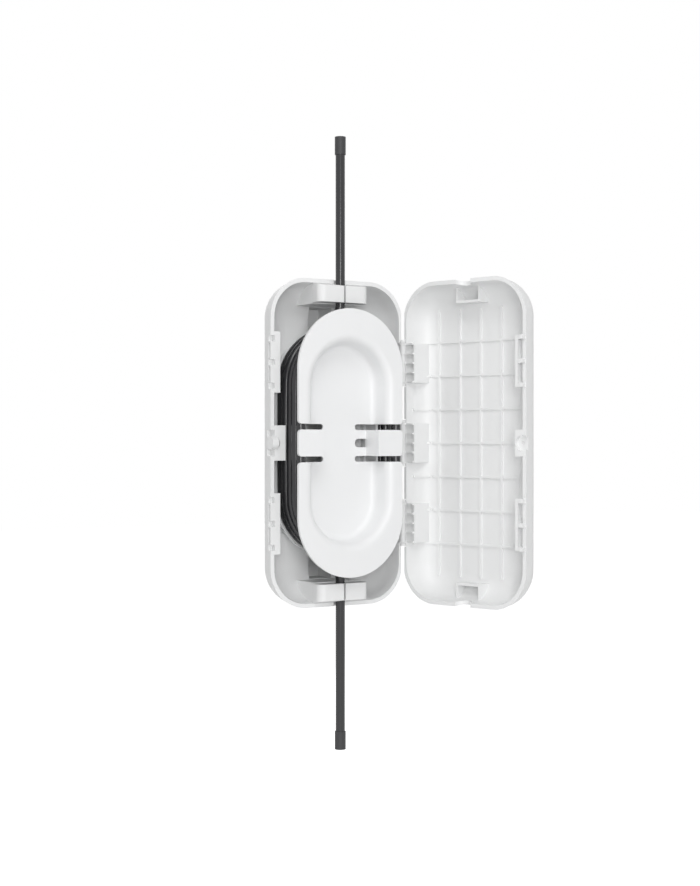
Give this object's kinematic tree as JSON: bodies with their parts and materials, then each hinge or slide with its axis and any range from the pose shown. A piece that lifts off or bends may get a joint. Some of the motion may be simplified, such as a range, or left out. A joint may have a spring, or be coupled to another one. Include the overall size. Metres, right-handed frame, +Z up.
{
  "type": "fibre cable enclosure",
  "caption": "Pole-mounted moulded plastic box with a hinged cover, a long oval cable reel and split rubber glands, for storing slack fibre cable where it passes a pole.",
  "frame": {"origin": "on the axis of the pole that the saddle grips, at the middle of the enclosure's height", "axes": "+Z up along the pole, -Y out of the open front of the base, +X to the hinge side"},
  "size_m": [0.1506, 0.1563, 0.412],
  "materials": {
    "case_plastic": "satin moulded",
    "reel_plastic": "satin moulded",
    "gland_rubber": "soft matt",
    "pin_plastic": "satin moulded",
    "cable_jacket": "smooth extruded",
    "cap_rubber": "soft matt"
  },
  "bodies": {
    "base": {"base_shell": "case_plastic", "reel_front": "reel_plastic", "reel_back": "reel_plastic", "gland_top": "gland_rubber", "gland_bottom": "gland_rubber", "hinge_pin_upper": "pin_plastic", "hinge_pin_middle": "pin_plastic", "hinge_pin_lower": "pin_plastic", "cable_coil": "cable_jacket", "cable_lead_in": "cable_jacket", "cable_lead_out": "cable_jacket", "cable_tail_top": "cable_jacket", "cable_tail_bottom": "cable_jacket", "cable_cap_top": "cap_rubber", "cable_cap_bottom": "cap_rubber"},
    "cover": {"cover_shell": "case_plastic"}
  },
  "joints": [
    {"name": "cover_hinge", "type": "hinge", "parent": "base", "child": "cover", "pos_m": [0.0523, -0.0686, 0], "axis": [0, 0, 1], "range_deg": [-106, 74]}
  ]
}
